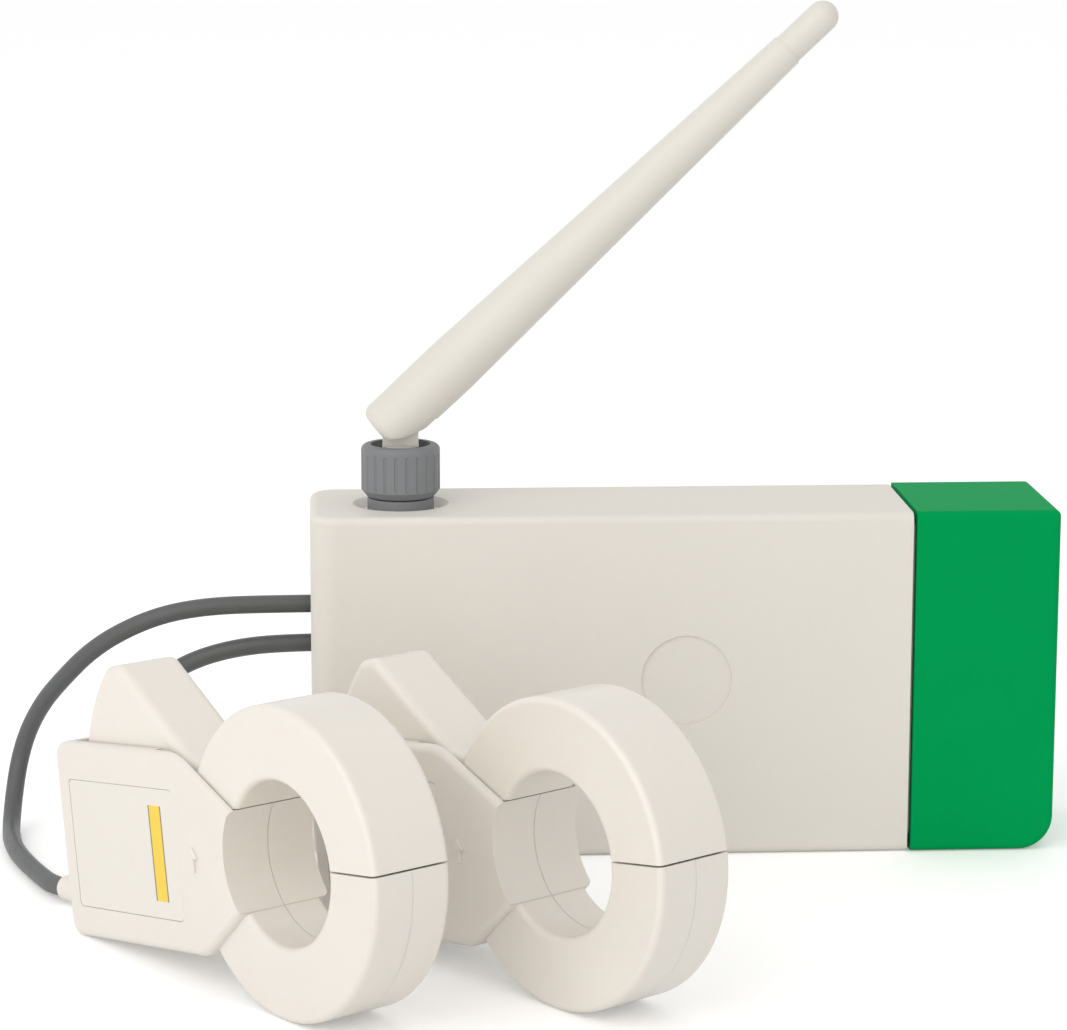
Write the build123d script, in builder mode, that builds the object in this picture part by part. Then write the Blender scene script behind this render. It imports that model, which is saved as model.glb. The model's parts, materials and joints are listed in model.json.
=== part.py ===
from build123d import *
import math
import os

os.makedirs("parts", exist_ok=True)

# Smart energy monitor: a long housing with a coloured end cap and a tilting antenna, and two
# split-core current clamps on short leads. The housing stands on its long lower edge and the
# clamps stand in front of it. The origin is the centre of the housing's bottom face, Z is up,
# X runs along the housing and the front face looks toward -Y.

overrun = 2.0

# Housing shell
housing_length = 130.0
housing_height = 60.5
housing_depth = 29.2
shell_wall = 2.2
shell_end_radius = 4.5
shell_edge_radius = 1.3
ledge_thickness = 1.5
cover_thickness = 2.0
cover_clearance = 0.15
cover_margin = 3.6
cover_corner_radius = 3.0
cover_ledge_width = 1.6
tongue_length = 6.0
tongue_wall = 1.6
tongue_root = 5.0
emblem_radius = 7.9
emblem_depth = 0.35
emblem_drop = 29.1
vent_width = 1.6
vent_length = 14.0
vent_pitch = 4.0
vent_count = 6

# Coloured end cap
cap_length = 25.2
cap_wall = 2.0
cap_proud = 0.25
cap_base_radius = 6.0
cap_edge_radius = 1.1
seam_gap = 0.6
slip_clearance = 0.15

# Screws, bosses and wall hooks
boss_radius = 3.0
boss_inset = 3.9
screw_radius = 1.25
screw_head_radius = 2.4
screw_head_height = 1.3
screw_length = 9.0
drive_span = 2.6
drive_width = 0.7
drive_depth = 0.9
thread_clearance = 0.05
head_clearance = 0.15
keyhole_head_radius = 3.8
keyhole_slot_radius = 2.0
keyhole_drop = 6.0
keyhole_spacing = 60.0
keyhole_top_gap = 20.5

# Circuit board
board_right_gap = 7.0
board_top_gap = 12.5
board_thickness = 1.6
board_left_gap = 6.0
board_base = 12.0
board_setback = 5.0
standoff_radius = 2.6
standoff_spacing_x = 60.0
standoff_edge_gap = 4.5
standoff_first_gap = 15.5
shield_length = 26.0
shield_height = 18.0
shield_depth = 3.0
shield_pitch_from_antenna = 24.0
transformer_length = 17.0
transformer_height = 20.0
transformer_depth = 14.0
transformer_end_gap = 3.0
capacitor_radius = 4.0
capacitor_chamfer = 0.6
capacitor_depth = 12.0
capacitor_pitch = 10.0
capacitor_count = 2
capacitor_to_transformer = 8.0

# Ports in the left end wall
lead_diameter = 3.2
first_port_drop = 17.9
port_pitch = 7.0
port_bay_depth = 4.0
port_bay_radius = 4.3
plug_radius = 3.1
plug_length = 6.0
plug_tip_radius = 1.25
plug_tip_length = 7.0
socket_depth = 8.0
socket_width = 9.0
socket_margin = 3.6
terminal_height = 15.0
terminal_rise = 6.6
terminal_depth = 9.0
terminal_hole_radius = 1.2
terminal_hole_depth = 6.0
terminal_count = 3
terminal_clearance = 0.15

# Antenna
antenna_inset = 15.9
recess_radius = 8.4
recess_floor_radius = 6.6
recess_depth = 1.2
connector_radius = 3.1
connector_chamfer = 0.2
connector_bore_clearance = 0.1
connector_flange_radius = 4.4
connector_flange_thickness = 1.6
connector_tail = 2.6
connector_rise = 3.6
gasket_radius = 5.85
gasket_gap = 0.25
collar_radius = 6.9
collar_foot_radius = 5.9
collar_stand = 1.4
collar_height = 9.1
collar_chamfer = 1.2
collar_round = 1.0
collar_mouth_radius = 5.2
collar_mouth_depth = 3.4
collar_neck_radius = 2.3
collar_thread_clearance = 0.08
flute_count = 22
flute_radius = 0.35
flute_margin = 1.5
swivel_flange_radius = 4.6
swivel_flange_thickness = 1.2
swivel_post_radius = 3.2
swivel_stem_radius = 2.2
swivel_clip_radius = 2.95
swivel_clip_thickness = 0.5
swivel_clip_room = 1.4
swivel_clip_gap = 0.3
swivel_gap = 0.3
tongue_half_width = 1.9
tongue_radius = 3.1
fork_clearance = 0.2
pivot_rise = 5.1
antenna_tilt = 46.7
antenna_reach = 103.0
arm_end_reach = 4.6
arm_base_radius = 4.95
arm_mid_radius = 5.05
arm_mid_reach = 12.5
arm_tip_radius = 2.95
arm_end_round = 1.7
arm_heel_rise = 0.6
arm_heel_depth = 3.8
fork_depth = 4.2
arm_heel_reach = 8.0
arm_pin_radius = 1.1
arm_pin_clearance = 0.05
arm_pin_blind = 0.9
tip_length = 11.0
tip_radius = 2.75
tip_spigot_radius = 1.7
tip_spigot_length = 5.0
radiator_radius = 0.9
radiator_start = 9.0
radiator_end_gap = 8.0
pigtail_radius = 0.7
pigtail_drop = 3.4
pigtail_bend = 2.2

# Current clamps, in the plane of the ring: x toward the opening side, y up, z along the bore
ring_radius = 24.2
bore_radius = 12.7
ring_thickness = 14.0
ring_edge_radius = 1.0
split_gap = 0.3
body_thickness = 16.8
body_reach = 59.8
body_half_height = 15.9
body_corner_radius = 2.5
body_edge_radius = 1.3
body_top_turn = 24.5
body_base_turn = 20.5
body_shoulder_radius = 10.0
root_split_height = 7.6
root_base_height = 8.2
jaw_side_gap = 0.3
lever_thickness = 11.8
lever_edge_radius = 1.5
lever_corner_radius = 2.2
lever_blend_radius = 4.5
jaw_pivot_x = -27.6
jaw_pivot_y = 7.6
jaw_open_angle = 30.0
lever_radius = 27.4
lever_foot_angle = 173.0
lever_crown_angle = 131.5
lever_crown_x = -42.0
lever_crown_y = 28.6
lever_ridge_x = -18.5
lever_ridge_y = 10.2
lever_foot_y = 8.6
lever_slot_clearance = 0.7
lever_slot_spare_angle = 2.0
hinge_lug_radius = 3.0
hinge_lug_half_width = 4.0
hinge_lug_gap = 0.3
hinge_boss_radius = 3.0
hinge_pin_radius = 1.4
hinge_pin_clearance = 0.05
hinge_pin_seat = 0.6
spring_slot_half_width = 2.0
spring_outer_radius = 2.5
spring_wire = 0.6
spring_gap = 0.2
core_inner_radius = 14.7
core_outer_radius = 22.0
core_half_thickness = 4.6
core_clearance = 0.2
core_cover_thickness = 1.3
limb_inner_x = -16.8
limb_outer_x = -22.6
limb_base_y = -12.0
limb_cap_height = 3.4
bobbin_top = 3.0
bobbin_base = -10.0
bobbin_wall = 0.7
bobbin_clearance = 0.15
bobbin_flange = 0.8
coil_thickness = 1.3
coil_gap = 0.1
relief_height = -10.9
relief_radius = 3.0
relief_tip_radius = 2.1
relief_length = 14.2
relief_groove_width = 1.2
relief_wall_lap = 3.0
relief_clearance = 0.05
burden_length = 20.0
burden_height = 6.0
burden_thickness = 1.2
label_end_gap = 3.8
label_ring_gap = 1.3
label_top = 10.0
label_base = -10.8
label_corner_radius = 0.8
label_thickness = 0.2
label_recess = 0.27
label_clearance = 0.1

# Leads. Each falls from its port to the floor and then runs to its clamp. Falling points: how
# far out from the left end wall, how far back, and the height as a share of the port's height.
# Floor points: a share of the way to the clamp, and the distance aside.
lead_bend_share = 0.45
lead_straight = 4.6
first_lead_fall_shares = [
    (7.0, 0, 1.0),
    (17.8, 0.2, 0.993),
    (26.2, 0.6, 0.956),
    (33.6, 1.6, 0.876),
    (39.3, 3.5, 0.776),
    (44.0, 6.3, 0.649),
    (47.9, 9.6, 0.527),
    (51.0, 12.3, 0.383),
    (52.9, 13.1, 0.232),
    (53.7, 9.6, 0.085),
    (53.7, 3.5, 0),
]
first_lead_floor_shares = [(0.199, -1.3), (0.393, -1.9), (0.587, -1.6), (0.768, -0.95)]
second_lead_fall_shares = [
    (5.0, 0, 1.0),
    (13.5, 0.2, 0.974),
    (21.0, 1.0, 0.906),
    (26.9, 3.9, 0.782),
    (30.6, 8.2, 0.624),
    (32.3, 12.0, 0.453),
    (32.8, 13.3, 0.265),
    (31.9, 10.0, 0.1),
    (29.6, 4.6, 0),
]
second_lead_floor_shares = [
    (0.172, -0.8),
    (0.34, -1.4),
    (0.517, -1.35),
    (0.697, -1.3),
    (0.862, -1.15),
]

# Where the clamps stand: middle of each bore over the floor, and the turn of its ring about Z
first_clamp_x = -64.25
first_clamp_y = -95.3
first_clamp_turn = 54.4
second_clamp_x = -22.95
second_clamp_y = -92.3
second_clamp_turn = 53.1

# Worked out from the sizes above
front_y = -housing_depth / 2
back_y = housing_depth / 2
left_x = -housing_length / 2
right_x = housing_length / 2
shell_right_x = right_x - cap_length - seam_gap
cap_left_x = right_x - cap_length
cover_right_x = shell_right_x - tongue_root
board_left_x = left_x + board_left_gap
board_length = housing_length - board_left_gap - board_right_gap
board_height = housing_height - board_base - board_top_gap
standoff_first_x = board_left_x + standoff_first_gap
standoff_spacing_z = board_height - 2 * standoff_edge_gap
board_front_y = board_setback
board_back_y = board_setback + board_thickness
inner_front_y = front_y + shell_wall
roof_z = housing_height - shell_wall
terminal_width = 2 * board_setback
terminal_hole_pitch = terminal_width / terminal_count
emblem_height = housing_height - emblem_drop
keyhole_height = housing_height - keyhole_top_gap
first_lead_height = housing_height - first_port_drop
second_lead_height = first_lead_height - port_pitch
antenna_x = left_x + antenna_inset
collar_base = housing_height + collar_stand
collar_top = collar_base + collar_height
antenna_pivot = collar_top + pivot_rise
relief_reach = body_reach + relief_length
label_left = -body_reach + label_end_gap
label_right = -ring_radius - label_ring_gap


def save(part, name):
    """Name a finished piece and write it to its own file."""
    part.label = name
    export_step(part, f"parts/{name}.step")


def front_plane(y):
    """A plane parallel to the housing's front, seen from the front, with x as X and y as Z."""
    return Plane(origin=(0, y, 0), x_dir=(1, 0, 0), z_dir=(0, -1, 0))


def back_plane(y):
    """The same plane seen from behind, for extrusions toward +Y."""
    return Plane(origin=(0, y, 0), x_dir=(-1, 0, 0), z_dir=(0, 1, 0))


def side_plane(x):
    """A plane across the housing at x, facing +X, with x as Y and y as Z."""
    return Plane(origin=(x, 0, 0), x_dir=(0, 1, 0), z_dir=(1, 0, 0))


boss_places = [
    (x, z)
    for x in (left_x + cover_margin + boss_inset, cover_right_x - boss_inset)
    for z in (cover_margin + boss_inset, housing_height - cover_margin - boss_inset)
]
standoff_places = [
    (standoff_first_x + i * standoff_spacing_x,
     board_base + board_height / 2 + (j - 1 / 2) * standoff_spacing_z)
    for i in (0, 1)
    for j in (0, 1)
]

# Main housing: a one-piece shell with a closed front, a rebate for the rear cover and a tongue
# at the right end that the coloured cap slides over.
with BuildPart() as main_housing:
    with BuildSketch(front_plane(front_y)):
        with Locations((left_x, 0)):
            Rectangle(shell_right_x - left_x, housing_height, align=(Align.MIN, Align.MIN))
    extrude(amount=-housing_depth)
    upright_edges = main_housing.edges().filter_by(Axis.Z).group_by(Axis.X)[0]
    fillet(upright_edges, radius=shell_end_radius)
    rims = (
        main_housing.faces().sort_by(Axis.Z)[-1].edges()
        + main_housing.faces().sort_by(Axis.Z)[0].edges()
    )
    end_edges = main_housing.faces().sort_by(Axis.X)[-1].edges()
    fillet([edge for edge in rims if edge not in end_edges], radius=shell_edge_radius)
    tongue_inset = cap_wall + slip_clearance
    with BuildSketch(side_plane(shell_right_x)):
        with Locations((0, housing_height / 2)):
            RectangleRounded(
                housing_depth - 2 * tongue_inset, housing_height - 2 * tongue_inset, tongue_wall
            )
    extrude(amount=tongue_length)
    with BuildSketch(front_plane(inner_front_y)):
        with Locations((left_x + shell_wall, shell_wall)):
            Rectangle(
                cover_right_x - left_x - shell_wall,
                housing_height - 2 * shell_wall,
                align=(Align.MIN, Align.MIN),
            )
    extrude(
        amount=-(housing_depth - shell_wall - cover_thickness - ledge_thickness),
        mode=Mode.SUBTRACT,
    )
    with BuildSketch(side_plane(cover_right_x - overrun)):
        with Locations((0, housing_height / 2)):
            Rectangle(
                housing_depth - 2 * (tongue_inset + tongue_wall),
                housing_height - 2 * (tongue_inset + tongue_wall),
            )
    extrude(amount=tongue_root + tongue_length + 2 * overrun, mode=Mode.SUBTRACT)
    with BuildSketch(front_plane(back_y)):
        with Locations(((left_x + cover_margin + cover_right_x) / 2, housing_height / 2)):
            RectangleRounded(
                cover_right_x - left_x - cover_margin,
                housing_height - 2 * cover_margin,
                cover_corner_radius,
            )
    extrude(amount=cover_thickness, mode=Mode.SUBTRACT)
    with BuildSketch(front_plane(back_y - cover_thickness + overrun)):
        with Locations(((left_x + cover_margin + cover_right_x) / 2, housing_height / 2)):
            RectangleRounded(
                cover_right_x - left_x - cover_margin - 2 * cover_ledge_width,
                housing_height - 2 * (cover_margin + cover_ledge_width),
                cover_corner_radius - cover_ledge_width / 2,
            )
    extrude(amount=ledge_thickness + 2 * overrun, mode=Mode.SUBTRACT)
    with BuildSketch(front_plane(inner_front_y)):
        with Locations(*boss_places):
            Circle(boss_radius)
    extrude(amount=-(housing_depth - shell_wall - cover_thickness))
    with BuildSketch(front_plane(inner_front_y)):
        with Locations(*standoff_places):
            Circle(standoff_radius)
    extrude(amount=-(board_front_y - inner_front_y))
    with BuildSketch(front_plane(back_y - cover_thickness)):
        with Locations(*boss_places):
            Circle(screw_radius + thread_clearance)
    extrude(amount=screw_length, mode=Mode.SUBTRACT)
    with BuildSketch(front_plane(board_front_y)):
        with Locations(*standoff_places):
            Circle(screw_radius + thread_clearance)
    extrude(amount=screw_length, mode=Mode.SUBTRACT)
    with BuildSketch(front_plane(front_y)):
        with Locations((0, emblem_height)):
            Circle(emblem_radius)
    extrude(amount=-emblem_depth, mode=Mode.SUBTRACT)
    with BuildSketch(side_plane(left_x)):
        with Locations((0, (first_lead_height + second_lead_height) / 2)):
            SlotCenterToCenter(
                first_lead_height - second_lead_height, 2 * port_bay_radius, rotation=90
            )
        with Locations((0, terminal_height)):
            Rectangle(
                terminal_width + 2 * terminal_clearance,
                terminal_rise + 2 * terminal_clearance,
            )
    extrude(amount=shell_wall + overrun, mode=Mode.SUBTRACT)
    with BuildSketch(Plane.XY.offset(housing_height)) as dish_top:
        with Locations((antenna_x, 0)):
            Circle(recess_radius)
    with BuildSketch(Plane.XY.offset(housing_height - recess_depth)) as dish_floor:
        with Locations((antenna_x, 0)):
            Circle(recess_floor_radius)
    loft(mode=Mode.SUBTRACT)
    with BuildSketch(Plane.XY.offset(housing_height)):
        with Locations((antenna_x, 0)):
            Circle(connector_radius + connector_bore_clearance)
    extrude(amount=-(shell_wall + overrun), mode=Mode.SUBTRACT)
save(main_housing.part, "main_housing")

# Rear cover: a plate in the rebate, with countersunk screw holes, two hooks and air slots.
with BuildPart() as rear_cover:
    cover_length = cover_right_x - left_x - cover_margin
    cover_centre_x = (left_x + cover_margin + cover_right_x) / 2
    with BuildSketch(back_plane(back_y)):
        with Locations((-cover_centre_x, housing_height / 2)):
            RectangleRounded(
                cover_length - 2 * cover_clearance,
                housing_height - 2 * (cover_margin + cover_clearance),
                cover_corner_radius - cover_clearance,
            )
    extrude(amount=-cover_thickness)
    with BuildSketch(back_plane(back_y)):
        for x, z in boss_places:
            with Locations((-x, z)):
                Circle(screw_radius + head_clearance)
        for side in (-1, 1):
            with Locations((-cover_centre_x + side * keyhole_spacing / 2, keyhole_height)):
                Circle(keyhole_slot_radius)
                with Locations((0, -keyhole_drop)):
                    Circle(keyhole_head_radius)
                with Locations((0, -keyhole_drop / 2)):
                    Rectangle(2 * keyhole_slot_radius, keyhole_drop)
        with Locations((-cover_centre_x, keyhole_height / 2)):
            with GridLocations(vent_pitch, 0, vent_count, 1):
                SlotOverall(vent_length, vent_width, rotation=90)
    extrude(amount=-cover_thickness, mode=Mode.SUBTRACT)
    with BuildSketch(back_plane(back_y)):
        for x, z in boss_places:
            with Locations((-x, z)):
                Circle(screw_head_radius + head_clearance)
    extrude(amount=-screw_head_height, mode=Mode.SUBTRACT)
save(rear_cover.part, "rear_cover")

# Rear screws: flat heads sunk in the cover, shanks in the bosses.
with BuildPart() as rear_screws:
    with BuildSketch(front_plane(back_y)):
        with Locations(*boss_places):
            Circle(screw_head_radius)
    extrude(amount=screw_head_height)
    with BuildSketch(front_plane(back_y)):
        with Locations(*boss_places):
            Circle(screw_radius)
    extrude(amount=screw_length)
    with BuildSketch(front_plane(back_y)):
        with Locations(*boss_places):
            Rectangle(drive_span, drive_width)
            Rectangle(drive_width, drive_span)
    extrude(amount=drive_depth, mode=Mode.SUBTRACT)
save(rear_screws.part, "rear_screws")

# Coloured end cap: a deep cup that slides over the tongue.
with BuildPart() as end_cap:
    with BuildSketch(front_plane(front_y - cap_proud)):
        with BuildLine():
            FilletPolyline(
                (cap_left_x, 0),
                (right_x, 0),
                (right_x, housing_height / 2),
                radius=cap_base_radius,
            )
            Polyline(
                (right_x, housing_height / 2),
                (right_x, housing_height + cap_proud),
                (cap_left_x, housing_height + cap_proud),
                (cap_left_x, 0),
            )
        make_face()
    extrude(amount=-(housing_depth + 2 * cap_proud))
    skins = (
        end_cap.faces().sort_by(Axis.Y)[0].edges()
        + end_cap.faces().sort_by(Axis.Y)[-1].edges()
        + end_cap.faces().sort_by(Axis.Z)[-1].edges()
    )
    mouth = end_cap.faces().sort_by(Axis.X)[0].edges()
    fillet([edge for edge in skins if edge not in mouth], radius=cap_edge_radius)
    with BuildSketch(side_plane(cap_left_x)):
        with Locations((0, housing_height / 2)):
            RectangleRounded(
                housing_depth - 2 * cap_wall, housing_height - 2 * cap_wall, tongue_wall
            )
    extrude(amount=cap_length - cap_base_radius, mode=Mode.SUBTRACT)
save(end_cap.part, "end_cap")

# Main circuit board with its parts on the front side.
with BuildPart() as main_board:
    with BuildSketch(front_plane(board_back_y)):
        with Locations((board_left_x, board_base)):
            Rectangle(board_length, board_height, align=(Align.MIN, Align.MIN))
        with Locations(*standoff_places):
            Circle(screw_radius + head_clearance, mode=Mode.SUBTRACT)
    extrude(amount=board_thickness)
save(main_board.part, "main_board")

with BuildPart() as board_screws:
    with BuildSketch(back_plane(board_back_y)):
        for x, z in standoff_places:
            with Locations((-x, z)):
                Circle(screw_head_radius)
    extrude(amount=screw_head_height)
    with BuildSketch(front_plane(board_back_y)):
        with Locations(*standoff_places):
            Circle(screw_radius)
    extrude(amount=screw_length)
    with BuildSketch(front_plane(board_back_y + screw_head_height)):
        with Locations(*standoff_places):
            Rectangle(drive_span, drive_width)
            Rectangle(drive_width, drive_span)
    extrude(amount=drive_depth, mode=Mode.SUBTRACT)
save(board_screws.part, "board_screws")

board_right_x = board_left_x + board_length
board_centre_z = board_base + board_height / 2
transformer_x = board_right_x - transformer_end_gap - transformer_length / 2
with BuildPart() as transformer:
    with BuildSketch(front_plane(board_front_y)):
        with Locations((transformer_x, board_centre_z)):
            Rectangle(transformer_length, transformer_height)
    extrude(amount=transformer_depth)
    fillet(transformer.edges().filter_by(Axis.Y), radius=cap_edge_radius)
save(transformer.part, "transformer")

with BuildPart() as capacitors:
    first_x = transformer_x - transformer_length / 2 - capacitor_to_transformer
    with BuildSketch(front_plane(board_front_y)):
        with Locations((first_x, board_centre_z)):
            with GridLocations(0, capacitor_pitch, 1, capacitor_count):
                Circle(capacitor_radius)
    extrude(amount=capacitor_depth)
    chamfer(capacitors.faces().sort_by(Axis.Y)[0].edges(), length=capacitor_chamfer)
save(capacitors.part, "capacitors")

# Radio screen with the small socket that takes the antenna pigtail.
shield_x = antenna_x + shield_pitch_from_antenna
shield_top = board_base + board_height - standoff_radius
pigtail_end_x = shield_x - shield_length / 2 + connector_radius
with BuildPart() as radio_screen:
    with BuildSketch(front_plane(board_front_y)):
        with Locations((shield_x, shield_top - shield_height / 2 - connector_radius)):
            Rectangle(shield_length, shield_height)
    extrude(amount=shield_depth)
    with BuildSketch(front_plane(board_front_y)):
        with Locations((pigtail_end_x, shield_top - connector_radius)):
            Rectangle(2 * pigtail_bend, 2 * pigtail_bend)
    extrude(amount=board_front_y + pigtail_bend)
save(radio_screen.part, "radio_screen")

# Antenna connector: flange under the roof, threaded barrel up through the recess.
connector_top = collar_base + connector_rise
with BuildPart() as antenna_connector:
    with BuildSketch(Plane.XY.offset(roof_z - connector_flange_thickness)):
        with Locations((antenna_x, 0)):
            RegularPolygon(connector_flange_radius, 6)
    extrude(amount=connector_flange_thickness)
    with BuildSketch(Plane.XY.offset(roof_z - connector_tail)):
        with Locations((antenna_x, 0)):
            Circle(connector_radius)
    extrude(amount=connector_top - roof_z + connector_tail)
    chamfer(antenna_connector.faces().sort_by(Axis.Z)[-1].edges(), length=connector_chamfer)
save(antenna_connector.part, "antenna_connector")

with BuildPart() as antenna_gasket:
    with BuildSketch(Plane.XY.offset(housing_height - recess_depth)):
        with Locations((antenna_x, 0)):
            Circle(gasket_radius)
            Circle(connector_radius + connector_bore_clearance, mode=Mode.SUBTRACT)
    extrude(amount=collar_base - gasket_gap - housing_height + recess_depth)
    fillet(antenna_gasket.faces().sort_by(Axis.Z)[-1].edges().sort_by(SortBy.RADIUS)[-1],
           radius=gasket_gap)
save(antenna_gasket.part, "antenna_gasket")

# Pigtail: from the connector's tail down to the socket on the radio screen.
pigtail_top = roof_z - connector_tail
pigtail_turn_z = pigtail_top - pigtail_drop
pigtail_end_z = shield_top - connector_radius + pigtail_bend
with BuildPart() as antenna_pigtail:
    with BuildLine():
        pigtail_path = FilletPolyline(
            (antenna_x, 0, pigtail_top),
            (antenna_x, 0, pigtail_turn_z),
            (pigtail_end_x, 0, pigtail_turn_z),
            (pigtail_end_x, 0, pigtail_end_z),
            radius=pigtail_bend,
        )
    with BuildSketch(Plane(origin=pigtail_path @ 0, z_dir=pigtail_path % 0)):
        Circle(pigtail_radius)
    sweep()
save(antenna_pigtail.part, "antenna_pigtail")

# Collar: a fluted nut that turns on the connector's thread and holds the swivel.
with BuildPart() as antenna_collar:
    with BuildSketch(Plane.XZ):
        with BuildLine():
            Polyline(
                (antenna_x + connector_radius + collar_thread_clearance, collar_base),
                (antenna_x + collar_foot_radius, collar_base),
                (antenna_x + collar_radius, collar_base + collar_chamfer),
                (antenna_x + collar_radius, collar_top),
                (antenna_x + collar_mouth_radius, collar_top),
                (antenna_x + collar_mouth_radius, collar_top - collar_mouth_depth),
                (antenna_x + collar_neck_radius, collar_top - collar_mouth_depth),
                (antenna_x + collar_neck_radius, connector_top + swivel_clip_room),
                (antenna_x + connector_radius + collar_thread_clearance,
                 connector_top + swivel_clip_room),
                (antenna_x + connector_radius + collar_thread_clearance, collar_base),
            )
        make_face()
    revolve(axis=Axis((antenna_x, 0, 0), (0, 0, 1)))
    top_rim = antenna_collar.edges().filter_by(GeomType.CIRCLE).group_by(Axis.Z)[-1]
    fillet(top_rim.sort_by(SortBy.RADIUS)[-1], radius=collar_round)
    with BuildSketch(Plane.XY.offset(collar_base + flute_margin)):
        with Locations((antenna_x, 0)):
            with PolarLocations(collar_radius + flute_radius / 2, flute_count):
                Circle(flute_radius)
    extrude(amount=collar_top - collar_base - 2 * flute_margin, mode=Mode.SUBTRACT)
save(antenna_collar.part, "antenna_collar")

# Swivel: a flanged post in the collar's mouth, with a tongue that the arm tilts on.
swivel_base = collar_top - collar_mouth_depth + swivel_gap
clip_top = connector_top + swivel_clip_room - swivel_clip_gap
stem_base = clip_top - swivel_clip_thickness
with BuildPart() as antenna_swivel:
    with BuildSketch(Plane.XY.offset(swivel_base)):
        with Locations((antenna_x, 0)):
            Circle(swivel_flange_radius)
    extrude(amount=swivel_flange_thickness)
    with BuildSketch(Plane.XY.offset(swivel_base)):
        with Locations((antenna_x, 0)):
            Circle(swivel_post_radius)
    extrude(amount=collar_top - swivel_base)
    with BuildSketch(Plane.XZ):
        with Locations((antenna_x, antenna_pivot)):
            Circle(tongue_radius)
        with Locations((antenna_x, collar_top - swivel_gap)):
            Rectangle(2 * tongue_radius, antenna_pivot - collar_top + swivel_gap,
                      align=(Align.CENTER, Align.MIN))
    extrude(amount=tongue_half_width, both=True)
    with BuildSketch(Plane.XY.offset(swivel_base)):
        with Locations((antenna_x, 0)):
            Circle(swivel_stem_radius)
    extrude(amount=-(swivel_base - stem_base))
    with BuildSketch(Plane.XZ):
        with Locations((antenna_x, antenna_pivot)):
            Circle(arm_pin_radius + arm_pin_clearance)
    extrude(amount=swivel_post_radius, both=True, mode=Mode.SUBTRACT)
save(antenna_swivel.part, "antenna_swivel")

# Clip under the collar's inner lip, which keeps the swivel in the collar.
with BuildPart() as swivel_clip:
    with BuildSketch(Plane.XY.offset(clip_top - swivel_clip_thickness)):
        with Locations((antenna_x, 0)):
            Circle(swivel_clip_radius)
            Circle(swivel_stem_radius + thread_clearance, mode=Mode.SUBTRACT)
    extrude(amount=swivel_clip_thickness)
save(swivel_clip.part, "swivel_clip")

# The arm's own frame: origin at the pivot, x along the arm, y across it in the tilt plane.
tilt = math.radians(antenna_tilt)
arm_dir = (math.sin(tilt), 0, math.cos(tilt))
arm_plane = Plane(origin=(antenna_x, 0, antenna_pivot), x_dir=arm_dir, z_dir=(0, -1, 0))
arm_axis = Axis((antenna_x, 0, antenna_pivot), arm_dir)
arm_body_end = antenna_reach - tip_length

with BuildPart() as antenna_arm:
    with BuildSketch(arm_plane):
        with BuildLine():
            Polyline(
                (-arm_end_reach, 0),
                (-arm_end_reach, arm_base_radius - arm_end_round),
            )
            RadiusArc(
                (-arm_end_reach, arm_base_radius - arm_end_round),
                (-arm_end_reach + arm_end_round, arm_base_radius),
                arm_end_round,
            )
            Polyline(
                (-arm_end_reach + arm_end_round, arm_base_radius),
                (arm_mid_reach, arm_mid_radius),
                (arm_body_end, arm_tip_radius),
                (arm_body_end, 0),
                (-arm_end_reach, 0),
            )
        make_face()
    revolve(axis=arm_axis)
    with BuildSketch(arm_plane):
        with Locations((-arm_end_reach - overrun, tongue_radius + swivel_gap)):
            Rectangle(
                arm_end_reach + overrun + fork_depth,
                4 * arm_base_radius,
                align=(Align.MIN, Align.MAX),
            )
    extrude(amount=tongue_half_width + fork_clearance, both=True, mode=Mode.SUBTRACT)
    with BuildSketch(arm_plane):
        with BuildLine():
            Polyline(
                (arm_heel_reach, -arm_base_radius - overrun),
                (-arm_end_reach - overrun, -arm_base_radius - overrun),
                (-arm_end_reach - overrun, -arm_heel_rise),
                (-arm_end_reach, -arm_heel_rise),
            )
            ThreePointArc(
                (-arm_end_reach, -arm_heel_rise), (0, -arm_heel_depth),
                (arm_heel_reach, -arm_base_radius),
            )
            Line(
                (arm_heel_reach, -arm_base_radius),
                (arm_heel_reach, -arm_base_radius - overrun),
            )
        make_face()
    extrude(amount=2 * arm_base_radius, both=True, mode=Mode.SUBTRACT)
    with BuildSketch(arm_plane.offset(arm_base_radius - arm_pin_blind)):
        Circle(arm_pin_radius + arm_pin_clearance)
    extrude(amount=-3 * arm_base_radius, mode=Mode.SUBTRACT)
    with BuildSketch(Plane(origin=arm_axis.position + arm_axis.direction * arm_body_end,
                           z_dir=arm_dir)):
        Circle(tip_spigot_radius + thread_clearance)
    extrude(amount=-tip_spigot_length - thread_clearance, mode=Mode.SUBTRACT)
    with BuildSketch(Plane(origin=arm_axis.position + arm_axis.direction * radiator_start,
                           z_dir=arm_dir)):
        Circle(radiator_radius + thread_clearance)
    extrude(amount=arm_body_end - radiator_start - tip_spigot_length, mode=Mode.SUBTRACT)
save(antenna_arm.part, "antenna_arm")

with BuildPart() as antenna_tip:
    with BuildSketch(arm_plane):
        with BuildLine():
            Polyline(
                (arm_body_end, 0),
                (arm_body_end, tip_radius),
                (antenna_reach - tip_radius, tip_radius),
            )
            RadiusArc((antenna_reach - tip_radius, tip_radius), (antenna_reach, 0), tip_radius)
            Line((antenna_reach, 0), (arm_body_end, 0))
        make_face()
    revolve(axis=arm_axis)
    with BuildSketch(Plane(origin=arm_axis.position + arm_axis.direction * arm_body_end,
                           z_dir=arm_dir)):
        Circle(tip_spigot_radius)
    extrude(amount=-tip_spigot_length)
save(antenna_tip.part, "antenna_tip")

with BuildPart() as antenna_pin:
    with BuildSketch(arm_plane.offset(arm_base_radius - arm_pin_blind)):
        Circle(arm_pin_radius)
    extrude(amount=-2 * (arm_base_radius - arm_pin_blind))
save(antenna_pin.part, "antenna_pin")

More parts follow.
